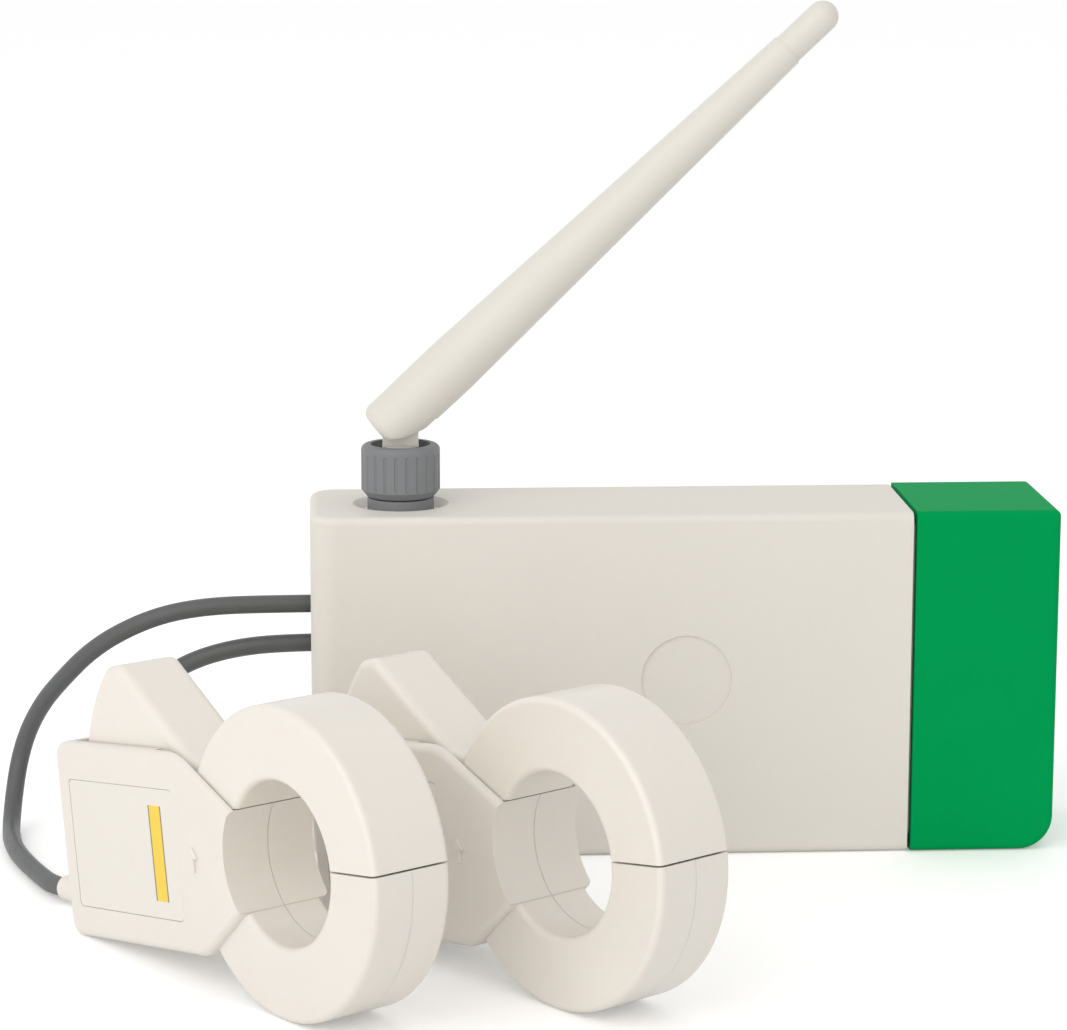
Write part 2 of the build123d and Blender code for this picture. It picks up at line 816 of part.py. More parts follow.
with BuildPart() as antenna_radiator:
    with BuildSketch(Plane(origin=arm_axis.position + arm_axis.direction * radiator_start,
                           z_dir=arm_dir)):
        Circle(radiator_radius)
    extrude(amount=arm_body_end - radiator_start - radiator_end_gap)
save(antenna_radiator.part, "antenna_radiator")

# Ports in the left end wall: a two-way socket block for the clamp plugs, and terminals.
lead_heights = {"ct1": first_lead_height, "ct2": second_lead_height}
socket_face_x = left_x + port_bay_depth + plug_length
with BuildPart() as sensor_sockets:
    with BuildSketch(side_plane(socket_face_x)):
        with Locations((board_front_y - socket_width / 2,
                        (first_lead_height + second_lead_height) / 2)):
            Rectangle(socket_width, first_lead_height - second_lead_height + 2 * socket_margin)
    extrude(amount=socket_depth)
    with BuildSketch(side_plane(socket_face_x)):
        with Locations((0, first_lead_height), (0, second_lead_height)):
            Circle(plug_tip_radius + thread_clearance)
    extrude(amount=plug_tip_length + thread_clearance, mode=Mode.SUBTRACT)
save(sensor_sockets.part, "sensor_sockets")

for clamp_name, height in lead_heights.items():
    with BuildPart() as lead_plug:
        with BuildSketch(side_plane(socket_face_x)):
            with Locations((0, height)):
                Circle(plug_radius)
        extrude(amount=-plug_length)
        with BuildSketch(side_plane(socket_face_x)):
            with Locations((0, height)):
                Circle(plug_tip_radius)
        extrude(amount=plug_tip_length)
    save(lead_plug.part, f"{clamp_name}_plug")

with BuildPart() as power_terminals:
    with BuildSketch(side_plane(left_x)):
        with Locations((0, terminal_height)):
            Rectangle(terminal_width, terminal_rise)
    extrude(amount=terminal_depth)
    with BuildSketch(side_plane(left_x)):
        with Locations((0, terminal_height)):
            with GridLocations(terminal_hole_pitch, 0, terminal_count, 1):
                Circle(terminal_hole_radius)
    extrude(amount=terminal_hole_depth, mode=Mode.SUBTRACT)
save(power_terminals.part, "power_terminals")


# Current clamps. The clamp leans back until the lower corner of its body touches the floor.
corner_x = -body_reach + body_corner_radius
corner_y = -body_half_height + body_corner_radius
corner_distance = math.hypot(corner_x, corner_y)
corner_bearing = math.atan2(corner_x, corner_y)
lean = corner_bearing + math.acos((body_corner_radius - ring_radius) / corner_distance)
lean = (lean + math.pi) % (2 * math.pi) - math.pi


def clamp_plane(x, y, turn):
    """The ring's middle plane: x toward the opening side, y up the clamp, z along the bore."""
    turn = math.radians(turn)
    along = (
        math.cos(turn) * math.cos(lean),
        -math.sin(turn) * math.cos(lean),
        math.sin(lean),
    )
    normal = (-math.sin(turn), -math.cos(turn), 0)
    return Plane(origin=(x, y, ring_radius), x_dir=along, z_dir=normal)


clamps = {
    "ct1": clamp_plane(first_clamp_x, first_clamp_y, first_clamp_turn),
    "ct2": clamp_plane(second_clamp_x, second_clamp_y, second_clamp_turn),
}
half_thickness = ring_thickness / 2
body_half = body_thickness / 2
half_turn = 180
lever_half = lever_thickness / 2
jaw_floor = root_split_height + split_gap / 2
root_angle = math.degrees(math.asin(root_split_height / bore_radius))
base_angle = math.degrees(math.asin(root_base_height / bore_radius))
pin_half_length = half_thickness + jaw_side_gap + hinge_pin_seat


def on_circle(radius, degrees):
    """A point at a bearing on a circle about the bore."""
    return (radius * math.cos(math.radians(degrees)), radius * math.sin(math.radians(degrees)))


def about_pivot(radius, degrees):
    """A point at a bearing on a circle about the jaw's pivot."""
    x, y = on_circle(radius, degrees)
    return (jaw_pivot_x + x, jaw_pivot_y + y)


def radial_plane(plane, side):
    """A plane through the bore's axis: x leaves the bore, y runs along it. side is 1 or -1."""
    outward = plane.x_dir * side
    return Plane(origin=plane.origin, x_dir=outward, z_dir=outward.cross(plane.z_dir))


def ring_section():
    """Section of the ring with its rounded edges."""
    with BuildSketch() as section:
        with Locations(((bore_radius + ring_radius) / 2, 0)):
            RectangleRounded(ring_radius - bore_radius, ring_thickness, ring_edge_radius)
    return section.sketch


def body_face():
    """Outline of the clamp body: a block whose right end wraps the left of the bore."""
    top_corner = on_circle(bore_radius, 180 - root_angle)
    base_corner = on_circle(bore_radius, 180 + base_angle)
    with BuildSketch() as outline:
        with BuildLine():
            FilletPolyline(
                top_corner,
                (-body_top_turn, body_half_height),
                (-body_reach, body_half_height),
                (-body_reach, -body_half_height),
                (-body_base_turn, -body_half_height),
                base_corner,
                radius=[
                    body_shoulder_radius,
                    body_corner_radius,
                    body_corner_radius,
                    body_shoulder_radius / 2,
                ],
            )
            ThreePointArc(base_corner, (-bore_radius, 0), top_corner)
        make_face()
    return outline.sketch


def clamp_body(plane, side):
    """One half of the clamp body with its half of the fixed lower jaw. side is 1 or -1."""
    bore_axis = Axis(plane.origin, plane.z_dir * side)
    with BuildPart() as half:
        with BuildSketch(plane):
            add(body_face())
        extrude(amount=side * body_half)
        outline = half.faces().sort_by(bore_axis)[-1].edges()
        bore_edges = outline.filter_by(GeomType.CIRCLE).group_by(SortBy.RADIUS)[-1]
        fillet([edge for edge in outline if edge not in bore_edges], radius=body_edge_radius)
        with BuildSketch(radial_plane(plane, -1)):
            add(ring_section())
            with Locations((bore_radius, 0)):
                Rectangle(
                    ring_radius,
                    half_thickness,
                    align=(Align.MIN, Align.MAX if side > 0 else Align.MIN),
                    mode=Mode.SUBTRACT,
                )
        revolve(axis=Axis(plane.origin, plane.z_dir), revolution_arc=180)
        with BuildSketch(plane):
            with Locations((0, -split_gap / 2)):
                Rectangle(2 * ring_radius, split_gap,
                          align=(Align.MIN, Align.MIN))
        extrude(amount=side * half_thickness, mode=Mode.SUBTRACT)
        # Pocket of the fixed core and its upright limb
        with BuildSketch(plane):
            Circle(core_outer_radius + core_clearance)
            Circle(core_inner_radius - core_clearance, mode=Mode.SUBTRACT)
            with Locations((0, -split_gap)):
                Rectangle(4 * ring_radius, 2 * ring_radius,
                          align=(Align.CENTER, Align.MIN), mode=Mode.SUBTRACT)
            with Locations((limb_outer_x - core_clearance, limb_base_y - core_clearance)):
                Rectangle(
                    limb_inner_x - limb_outer_x + 2 * core_clearance,
                    jaw_floor - limb_base_y + core_clearance,
                    align=(Align.MIN, Align.MIN),
                )
            with Locations((core_inner_radius - core_clearance, -split_gap - overrun)):
                Rectangle(
                    core_outer_radius - core_inner_radius + 2 * core_clearance,
                    2 * overrun + split_gap,
                    align=(Align.MIN, Align.MIN),
                )
        extrude(amount=side * (core_half_thickness + core_clearance), mode=Mode.SUBTRACT)
        # Room for the winding
        with BuildSketch(plane):
            with Locations((limb_outer_x - bobbin_wall - coil_thickness - core_clearance - coil_gap,
                            bobbin_base - coil_gap)):
                Rectangle(
                    limb_inner_x - limb_outer_x
                    + 2 * (bobbin_wall + coil_thickness + core_clearance + coil_gap),
                    bobbin_top - bobbin_base + 2 * coil_gap,
                    align=(Align.MIN, Align.MIN),
                )
        extrude(amount=side * (half_thickness + coil_gap), mode=Mode.SUBTRACT)
        # Room for the moving jaw's root, between the two cheeks
        with BuildSketch(plane):
            with Locations((jaw_pivot_x - hinge_lug_radius - hinge_lug_gap, root_split_height)):
                Rectangle(
                    -jaw_pivot_x,
                    body_half_height,
                    align=(Align.MIN, Align.MIN),
                )
            with Locations((jaw_pivot_x, jaw_pivot_y)):
                Circle(hinge_lug_radius + hinge_lug_gap)
        extrude(amount=side * (half_thickness + jaw_side_gap), mode=Mode.SUBTRACT)
        # Slot that the lever swings down into
        slot_start_angle = lever_foot_angle + jaw_open_angle + lever_slot_spare_angle
        with BuildSketch(plane):
            with BuildLine():
                slot_start = about_pivot(lever_radius + lever_slot_clearance,
                                         slot_start_angle)
                slot_end = about_pivot(lever_radius + lever_slot_clearance, half_turn)
                slot_middle = about_pivot(lever_radius + lever_slot_clearance,
                                          (slot_start_angle + half_turn) / 2)
                ThreePointArc(slot_start, slot_middle, slot_end)
                Polyline(
                    slot_end,
                    (slot_end[0], body_half_height + overrun),
                    (jaw_pivot_x, body_half_height + overrun),
                    (jaw_pivot_x, jaw_pivot_y - hinge_lug_radius),
                    slot_start,
                )
            make_face()
        extrude(amount=side * (lever_half + jaw_side_gap), mode=Mode.SUBTRACT)
        # Hinge bosses that carry the pin
        with BuildSketch(plane.offset(side * (hinge_lug_half_width + hinge_lug_gap))):
            with Locations((jaw_pivot_x, jaw_pivot_y)):
                Circle(hinge_boss_radius)
        boss_reach = pin_half_length - hinge_lug_half_width - hinge_lug_gap
        extrude(amount=side * boss_reach)
        with BuildSketch(plane):
            with Locations((jaw_pivot_x, jaw_pivot_y)):
                Circle(hinge_pin_radius + hinge_pin_clearance)
        extrude(amount=side * (pin_half_length + hinge_pin_clearance), mode=Mode.SUBTRACT)
        # Chamber for the burden board, and the seat of the strain relief in the end wall
        with BuildSketch(plane):
            with Locations((-body_reach + relief_wall_lap, relief_height)):
                Rectangle(
                    burden_length + 2 * relief_wall_lap,
                    burden_height + 2 * jaw_side_gap,
                    align=(Align.MIN, Align.CENTER),
                )
            with Locations((-body_reach, relief_height)):
                Rectangle(
                    2 * (relief_wall_lap + overrun), 2 * (relief_radius + relief_clearance)
                )
        extrude(amount=side * (relief_radius + relief_clearance), mode=Mode.SUBTRACT)
        if side > 0:
            # Shallow seat of the label
            with BuildSketch(plane.offset(body_half)):
                with Locations(((label_left + label_right) / 2, (label_top + label_base) / 2)):
                    RectangleRounded(
                        label_right - label_left, label_top - label_base, label_corner_radius
                    )
            extrude(amount=-label_recess, mode=Mode.SUBTRACT)
    return half.part


def ridge_foot():
    """Where the line of the lever's ridge meets the ring's outer circle."""
    crown = Vector(lever_crown_x, lever_crown_y)
    ridge = (Vector(lever_ridge_x, lever_ridge_y) - crown).normalized()
    along = crown.dot(ridge)
    chord = math.sqrt(ring_radius**2 - crown.dot(crown) + along**2)
    return crown - ridge * (along + chord)


def lever_face():
    """Outline of the lever: an arc about the pivot on the outside, a straight ridge on top."""
    foot = about_pivot(lever_radius, lever_foot_angle)
    middle = about_pivot(lever_radius, (lever_foot_angle + lever_crown_angle) / 2)
    crown = about_pivot(lever_radius, lever_crown_angle)
    with BuildSketch() as outline:
        with BuildLine():
            ThreePointArc(foot, middle, crown)
            Polyline(
                crown,
                (lever_crown_x, lever_crown_y),
                (lever_ridge_x, lever_ridge_y),
                (lever_ridge_x, jaw_floor),
                (jaw_pivot_x, jaw_floor),
                (jaw_pivot_x - hinge_lug_radius, lever_foot_y),
                foot,
            )
        make_face()
        fillet(outline.vertices().sort_by(Axis.Y)[-2:], radius=lever_corner_radius)
    return outline.sketch


def core_pocket_face(gap):
    """The moving core's outline, larger all round by gap, open at both split faces."""
    with BuildSketch() as outline:
        Circle(core_outer_radius + gap)
        Circle(core_inner_radius - gap, mode=Mode.SUBTRACT)
        Rectangle(4 * ring_radius, 4 * ring_radius,
                  align=(Align.CENTER, Align.MAX), mode=Mode.SUBTRACT)
        Rectangle(2 * ring_radius, jaw_floor,
                  align=(Align.MAX, Align.MIN), mode=Mode.SUBTRACT)
        with Locations((limb_outer_x - gap, jaw_floor)):
            Rectangle(
                limb_inner_x - limb_outer_x + 2 * gap,
                limb_cap_height,
                align=(Align.MIN, Align.MIN),
            )
    return outline.sketch


def clamp_jaw(plane):
    """The moving upper half of the ring, moulded in one with its lever and hinge lug."""
    bore_axis = Axis(plane.origin, plane.z_dir)
    with BuildPart() as jaw:
        with BuildSketch(radial_plane(plane, 1)):
            add(ring_section())
        revolve(axis=bore_axis, revolution_arc=180)
        with BuildSketch(plane):
            Rectangle(2 * ring_radius, split_gap / 2, align=(Align.MIN, Align.MIN))
            Rectangle(2 * ring_radius, jaw_floor, align=(Align.MAX, Align.MIN))
        extrude(amount=half_thickness, both=True, mode=Mode.SUBTRACT)
        with BuildSketch(plane):
            add(lever_face())
        extrude(amount=lever_half, both=True)
        crown_edges = [
            edge
            for edge in jaw.edges()
            if abs(plane.to_local_coords(edge.center()).Z) > lever_half - spring_gap
            and abs(plane.to_local_coords(edge.center()).Z) < lever_half + spring_gap
            and plane.to_local_coords(edge.center()).Y > jaw_floor + ring_edge_radius
            and plane.to_local_coords(edge.center()).X < jaw_pivot_x
        ]
        fillet(crown_edges, radius=lever_edge_radius)
        # The ridge runs down into the ring in a hollow curve
        valley = plane.from_local_coords(ridge_foot())
        fillet(jaw.edges().sort_by_distance(valley)[0], radius=lever_blend_radius)
        with BuildSketch(plane):
            with Locations((jaw_pivot_x, jaw_pivot_y)):
                Circle(hinge_lug_radius)
        extrude(amount=hinge_lug_half_width, both=True)
        # The lug is narrower than the jaw, to leave room for the bosses
        for side in (-1, 1):
            with BuildSketch(plane.offset(side * hinge_lug_half_width)):
                with Locations((jaw_pivot_x, jaw_pivot_y)):
                    Circle(hinge_boss_radius + hinge_lug_gap)
            extrude(amount=side * half_thickness, mode=Mode.SUBTRACT)
        with BuildSketch(plane):
            with Locations((jaw_pivot_x, jaw_pivot_y)):
                Circle(hinge_pin_radius + hinge_pin_clearance)
        extrude(amount=half_thickness, both=True, mode=Mode.SUBTRACT)
        # Slot for the spring round the pin
        with BuildSketch(plane):
            with Locations((jaw_pivot_x, jaw_pivot_y)):
                Circle(spring_outer_radius + 2 * spring_gap)
        extrude(amount=spring_slot_half_width, both=True, mode=Mode.SUBTRACT)
        # Pocket of the moving core, open toward the rear cover plate
        with BuildSketch(plane.offset(core_half_thickness + core_clearance)):
            add(core_pocket_face(core_clearance))
        extrude(amount=-ring_thickness, mode=Mode.SUBTRACT)
    return jaw.part


def jaw_cover(plane):
    """The plate that closes the core pocket from the rear."""
    with BuildPart() as cover:
        with BuildSketch(plane.offset(-half_thickness)):
            add(core_pocket_face(core_clearance - label_clearance / 2))
        extrude(amount=core_cover_thickness)
    return cover.part


def moving_core(plane):
    """The upper half of the laminated core."""
    with BuildPart() as core:
        with BuildSketch(plane):
            add(core_pocket_face(0))
            with Locations((0, split_gap / 2)):
                Rectangle(4 * ring_radius, 4 * ring_radius,
                          align=(Align.CENTER, Align.MAX), mode=Mode.SUBTRACT)
        extrude(amount=core_half_thickness, both=True)
    return core.part


def fixed_core(plane):
    """The lower half of the core, with the straight limb that carries the winding."""
    with BuildPart() as core:
        with BuildSketch(plane):
            Circle(core_outer_radius)
            Circle(core_inner_radius, mode=Mode.SUBTRACT)
            with Locations((0, -split_gap / 2)):
                Rectangle(4 * ring_radius, 4 * ring_radius,
                          align=(Align.CENTER, Align.MIN), mode=Mode.SUBTRACT)
            with Locations((0, bobbin_base - bobbin_clearance)):
                Rectangle(2 * ring_radius, 2 * ring_radius,
                          align=(Align.MAX, Align.MIN), mode=Mode.SUBTRACT)
            with Locations((limb_outer_x, limb_base_y)):
                Rectangle(
                    limb_inner_x - limb_outer_x,
                    root_split_height - split_gap / 2 - limb_base_y,
                    align=(Align.MIN, Align.MIN),
                )
        extrude(amount=core_half_thickness, both=True)
    return core.part


def limb_plane(plane, height):
    """A plane across the upright limb at a height of the clamp."""
    return Plane(
        origin=plane.from_local_coords((0, height, 0)), x_dir=plane.x_dir, z_dir=plane.y_dir
    )


def limb_face(grow_x, grow_z):
    """The limb's section, larger on its four sides by the given walls."""
    with BuildSketch() as section:
        with Locations(((limb_inner_x + limb_outer_x) / 2, 0)):
            Rectangle(
                limb_inner_x - limb_outer_x + 2 * grow_x, 2 * (core_half_thickness + grow_z)
            )
    return section.sketch


def coil_bobbin(plane):
    """The flanged former on the limb."""
    wall = bobbin_clearance + bobbin_wall
    flange = wall + coil_thickness
    flange_reach = half_thickness - core_half_thickness
    with BuildPart() as bobbin:
        with BuildSketch(limb_plane(plane, bobbin_base)):
            add(limb_face(wall, wall))
        extrude(amount=bobbin_top - bobbin_base)
        for height in (bobbin_base, bobbin_top - bobbin_flange):
            with BuildSketch(limb_plane(plane, height)):
                add(limb_face(flange, flange_reach))
            extrude(amount=bobbin_flange)
        with BuildSketch(limb_plane(plane, bobbin_base)):
            add(limb_face(bobbin_clearance, bobbin_clearance))
        extrude(amount=bobbin_top - bobbin_base, mode=Mode.SUBTRACT)
    return bobbin.part


def coil_winding(plane):
    """The wound wire as one block between the flanges."""
    inner = bobbin_clearance + bobbin_wall + coil_gap / 2
    outer = inner + coil_thickness - coil_gap
    low = bobbin_base + bobbin_flange + coil_gap / 2
    high = bobbin_top - bobbin_flange - coil_gap / 2
    with BuildPart() as coil:
        with BuildSketch(limb_plane(plane, low)):
            add(limb_face(outer, outer))
            add(limb_face(inner, inner), mode=Mode.SUBTRACT)
        extrude(amount=high - low)
    return coil.part


def hinge_pin(plane):
    """The steel pin through the lug, seated in both cheeks."""
    with BuildPart() as pin:
        with BuildSketch(plane):
            with Locations((jaw_pivot_x, jaw_pivot_y)):
                Circle(hinge_pin_radius)
        extrude(amount=pin_half_length, both=True)
    return pin.part


def torsion_spring(plane):
    """The closing spring's coil round the pin."""
    with BuildPart() as spring:
        with BuildSketch(plane):
            with Locations((jaw_pivot_x, jaw_pivot_y)):
                Circle(spring_outer_radius)
                Circle(hinge_pin_radius + spring_gap, mode=Mode.SUBTRACT)
        extrude(amount=spring_slot_half_width - spring_gap, both=True)
    return spring.part


def strain_relief(plane):
    """The tapered sleeve that the lead leaves the body through."""
    relief_axis = Axis(plane.from_local_coords((0, relief_height, 0)), plane.x_dir)
    inner_x = -body_reach + relief_wall_lap - relief_clearance
    with BuildPart() as relief:
        with BuildSketch(plane):
            with BuildLine():
                Polyline(
                    (inner_x, relief_height),
                    (inner_x, relief_height + relief_radius),
                    (-body_reach - relief_groove_width, relief_height + relief_radius),
                    (-relief_reach, relief_height + relief_tip_radius),
                    (-relief_reach, relief_height),
                    (inner_x, relief_height),
                )
            make_face()
        revolve(axis=relief_axis)
    return relief.part


def burden_board(plane):
    """The small board with the burden resistor, in the chamber behind the strain relief."""
    with BuildPart() as board:
        with BuildSketch(plane):
            with Locations((-body_reach + relief_wall_lap + jaw_side_gap, relief_height)):
                Rectangle(burden_length, burden_height, align=(Align.MIN, Align.CENTER))
        extrude(amount=burden_thickness / 2, both=True)
    return board.part


def clamp_label(plane):
    """The blank rating label in its seat on the front half."""
    with BuildPart() as label:
        with BuildSketch(plane.offset(body_half - label_recess)):
            with Locations(((label_left + label_right) / 2, (label_top + label_base) / 2)):
                RectangleRounded(
                    label_right - label_left - 2 * label_clearance,
                    label_top - label_base - 2 * label_clearance,
                    label_corner_radius,
                )
        extrude(amount=label_thickness)
    return label.part


clamp_pieces = {
    "body_front": clamp_body(Plane.XY, 1),
    "body_rear": clamp_body(Plane.XY, -1),
    "jaw": clamp_jaw(Plane.XY),
    "jaw_cover": jaw_cover(Plane.XY),
    "upper_core": moving_core(Plane.XY),
    "lower_core": fixed_core(Plane.XY),
    "bobbin": coil_bobbin(Plane.XY),
    "coil": coil_winding(Plane.XY),
    "hinge_pin": hinge_pin(Plane.XY),
    "spring": torsion_spring(Plane.XY),
    "strain_relief": strain_relief(Plane.XY),
    "burden_board": burden_board(Plane.XY),
    "label": clamp_label(Plane.XY),
}
for clamp_name, plane in clamps.items():
    for piece_name, piece in clamp_pieces.items():
        save(piece.moved(plane.location), f"{clamp_name}_{piece_name}")


# Leads: tubes of straight runs and tangent arcs from each plug to its clamp's strain relief.
lead_exit_x = socket_face_x - plug_length
leads = {
    "ct1": (first_lead_height, first_lead_fall_shares, first_lead_floor_shares),
    "ct2": (second_lead_height, second_lead_fall_shares, second_lead_floor_shares),
}


def lead_route(plane, exit_height, fall, floor):
    """Points of a lead's route, from its plug to the tip of its strain relief."""
    rest_z = lead_diameter / 2
    points = [Vector(lead_exit_x, 0, exit_height)]
    for out, back, share in fall:
        points.append(Vector(left_x - out, back, rest_z + share * (exit_height - rest_z)))
    tip = plane.from_local_coords(Vector(-relief_reach, relief_height, 0))
    before_tip = tip - plane.x_dir * lead_straight
    landing = points[-1]
    way = Vector(before_tip.X - landing.X, before_tip.Y - landing.Y, 0)
    aside = way.normalized().rotate(Axis.Z, 90)
    for share, offset in floor:
        points.append(landing + way * share + aside * offset)
    return points + [before_tip, tip]


def bend_radii(points):
    """One radius for each corner, as large as its two runs allow."""
    radii = []
    for before, corner, after in zip(points, points[1:], points[2:]):
        run_in = corner - before
        run_out = after - corner
        half_turn = math.radians(run_in.get_angle(run_out)) / 2
        shorter = min(run_in.length, run_out.length)
        radii.append(lead_bend_share * shorter / math.tan(half_turn))
    return radii


for clamp_name, (exit_height, fall, floor) in leads.items():
    points = lead_route(clamps[clamp_name], exit_height, fall, floor)
    radii = bend_radii(points)
    with BuildPart() as lead:
        with BuildLine():
            lead_path = FilletPolyline(*points, radius=radii)
        with BuildSketch(Plane(origin=lead_path @ 0, z_dir=lead_path % 0)):
            Circle(lead_diameter / 2)
        sweep()
    save(lead.part, f"{clamp_name}_cable")
    section = math.pi * (lead_diameter / 2) ** 2
    print(f"{clamp_name}_cable length {lead_path.length:.1f} mm, smallest radius {min(radii):.1f},",
          f"volume {lead.part.volume:.1f} against {section * lead_path.length:.1f}")
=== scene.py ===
"""Looks, leads and studio of the smart energy monitor, laid out as a Blender add-on."""

import json
import math

import bpy
import numpy as np
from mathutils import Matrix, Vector


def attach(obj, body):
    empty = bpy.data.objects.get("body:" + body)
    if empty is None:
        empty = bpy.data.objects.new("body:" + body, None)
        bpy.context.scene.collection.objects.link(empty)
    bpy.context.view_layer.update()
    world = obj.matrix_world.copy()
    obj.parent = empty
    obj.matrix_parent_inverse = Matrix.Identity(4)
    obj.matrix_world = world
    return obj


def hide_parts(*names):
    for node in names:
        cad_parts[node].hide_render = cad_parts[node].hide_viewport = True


bl_info = {
    "name": "Smart energy monitor",
    "version": (1, 0, 0),
    "blender": (4, 5, 0),
    "location": "View3D > Sidebar > Monitor",
    "description": "Materials, leads and studio of a smart energy monitor with two clamps",
    "category": "Object",
}

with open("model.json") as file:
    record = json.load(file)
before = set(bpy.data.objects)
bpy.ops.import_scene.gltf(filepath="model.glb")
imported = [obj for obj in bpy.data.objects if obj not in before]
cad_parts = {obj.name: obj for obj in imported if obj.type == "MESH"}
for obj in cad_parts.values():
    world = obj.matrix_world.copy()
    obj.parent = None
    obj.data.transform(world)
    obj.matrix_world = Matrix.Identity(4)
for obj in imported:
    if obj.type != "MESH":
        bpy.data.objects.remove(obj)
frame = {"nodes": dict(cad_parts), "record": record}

LEAD_ROUTES = {
    "ct1": [
        (-0.061, 0.0, 0.0426), (-0.072, 0.0, 0.0426), (-0.0828, 0.0002, 0.04231),
        (-0.0912, 0.0006, 0.0408), (-0.0986, 0.0016, 0.03752), (-0.1043, 0.0035, 0.03342),
        (-0.109, 0.0063, 0.02821), (-0.1129, 0.0096, 0.02321), (-0.116, 0.0123, 0.0173),
        (-0.1179, 0.0131, 0.01111), (-0.1187, 0.0096, 0.00509), (-0.1187, 0.0035, 0.0016),
        (-0.11794, -0.00419, 0.0016), (-0.11655, -0.0115, 0.0016), (-0.1143, -0.01858, 0.0016),
        (-0.11184, -0.02509, 0.0016), (-0.10857, -0.03339, 0.00183),
        (-0.10592, -0.03709, 0.00251),
    ],
    "ct2": [
        (-0.061, 0.0, 0.0356), (-0.07, 0.0, 0.0356), (-0.0785, 0.0002, 0.03472),
        (-0.086, 0.001, 0.0324), (-0.0919, 0.0039, 0.02819), (-0.0956, 0.0082, 0.02282),
        (-0.0973, 0.012, 0.017), (-0.0978, 0.0133, 0.01061), (-0.0969, 0.01, 0.005),
        (-0.0946, 0.0046, 0.0016), (-0.09079, -0.00206, 0.0016), (-0.08692, -0.00846, 0.0016),
        (-0.08229, -0.01481, 0.0016), (-0.07758, -0.02126, 0.0016),
        (-0.07318, -0.02712, 0.0016), (-0.06866, -0.03142, 0.00183),
        (-0.06593, -0.03505, 0.00251),
    ],
}

MILLIMETRE = 0.001
PLASTIC_IOR = 1.49
SCATTER_DEPTH = 0.002
ROUGH_SWING = 0.16  # how far the fine grain changes the roughness
FLOW_PATCHES = 45.0  # patches of flow marks per metre

# Lines on the clamp body, in metres in the clamp's own axes
BORE_REACH = 0.0131  # just past the bore's radius of 12.7 mm
SEAM_STRENGTH = 0.55
SEAM_SPREAD = 0.0002
FOOT_LINE_Y = -0.0082
FOOT_LINE_SPREAD = 0.00011
SEAM_SHADE = (0.55, 0.46, 0.36)

# Label print, in millimetres in the clamp's own axes
BAND_X = (-32.6, -29.6)
BAND_Y = (-8.0, 7.2)
RULE_WIDTH = 0.3
RULE_INK = (0.16, 0.15, 0.13)

# Arrow outline about its middle, and where it stands on the clamp's front face, in millimetres
ARROW_OUTLINE = (
    (-0.42, -1.9), (0.42, -1.9), (0.42, 0.3), (1.2, 0.3), (0.0, 2.0), (-1.2, 0.3), (-0.42, 0.3),
)
ARROW_MIDDLE = (-21.0, -0.6)
FRONT_FACE_Z = 8.4
ARROW_SINK = 0.05
ARROW_TOP_SCALE = 0.86

FLOOR_GLOW = 0.26
LAMP_COLOUR = (1.0, 0.975, 0.94)
LAMP_TARGET = (-0.03, -0.03, 0.04)
CAMERA_PLACE = (-0.0629, -0.6138, 0.1758)
CAMERA_TURN = (3.44, 10.84, -0.1)  # yaw to the right, pitch down and roll, in degrees

# Each clamp's own axes in the row frame: origin, x away from its lead, y up, z along the bore
CLAMPS = {
    "ct1": (
        (-0.06425, -0.0953, 0.0242),
        (0.575764, -0.804218, 0.147406),
        (-0.085809, 0.119856, 0.989076),
        (-0.813101, -0.582123, 0.0),
    ),
    "ct2": (
        (-0.02295, -0.0923, 0.0242),
        (0.593861, -0.790949, 0.147406),
        (-0.088506, 0.117879, 0.989076),
        (-0.799685, -0.60042, 0.0),
    ),
}


class Value:
    """A shader socket that can be used in sums, products and comparisons."""

    def __init__(self, nodes, socket):
        self.nodes = nodes
        self.socket = socket

    def __add__(self, other):
        return self.nodes.math("ADD", self, other)

    __radd__ = __add__

    def __sub__(self, other):
        return self.nodes.math("SUBTRACT", self, other)

    def __rsub__(self, other):
        return self.nodes.math("SUBTRACT", other, self)

    def __mul__(self, other):
        return self.nodes.math("MULTIPLY", self, other)

    __rmul__ = __mul__

    def __truediv__(self, other):
        return self.nodes.math("DIVIDE", self, other)

    def __rtruediv__(self, other):
        return self.nodes.math("DIVIDE", other, self)

    def __lt__(self, other):
        return self.nodes.math("LESS_THAN", self, other)

    def __gt__(self, other):
        return self.nodes.math("GREATER_THAN", self, other)

    def __abs__(self):
        return self.nodes.math("ABSOLUTE", self)

    def sine(self):
        """Sine of the value."""
        return self.nodes.math("SINE", self)

    def clamped(self):
        """The value held between 0 and 1."""
        made = self.nodes.node("Clamp", inputs={"Value": self})
        return Value(self.nodes, made.outputs["Result"])


class Nodes:
    """A node tree whose nodes are made by calls and joined by expressions on values."""

    def __init__(self, tree):
        self.tree = tree

    def link(self, value, socket):
        """Feed a value, a number or a colour to a socket."""
        if isinstance(value, Value):
            self.tree.links.new(value.socket, socket)
        elif hasattr(socket.default_value, "__len__") and len(value) == 3:
            socket.default_value = (*value, 1.0)[: len(socket.default_value)]
        else:
            socket.default_value = value

    def node(self, kind, settings=None, inputs=None):
        """One node of a type: its settings first, then its inputs by name or number."""
        made = self.tree.nodes.new("ShaderNode" + kind)
        for key, value in (settings or {}).items():
            setattr(made, key, value)
        for key, value in (inputs or {}).items():
            self.link(value, made.inputs[key])
        return made

    def math(self, operation, *values):
        """One math node."""
        made = self.node("Math", {"operation": operation}, dict(enumerate(values)))
        return Value(self, made.outputs[0])

    def seen(self):
        """1 for what the camera, gloss and glass see of the backdrop, 0 for the light it gives."""
        rays = self.node("LightPath")
        kinds = ("Camera", "Glossy", "Transmission")
        return sum(Value(self, rays.outputs[f"Is {kind} Ray"]) for kind in kinds).clamped()


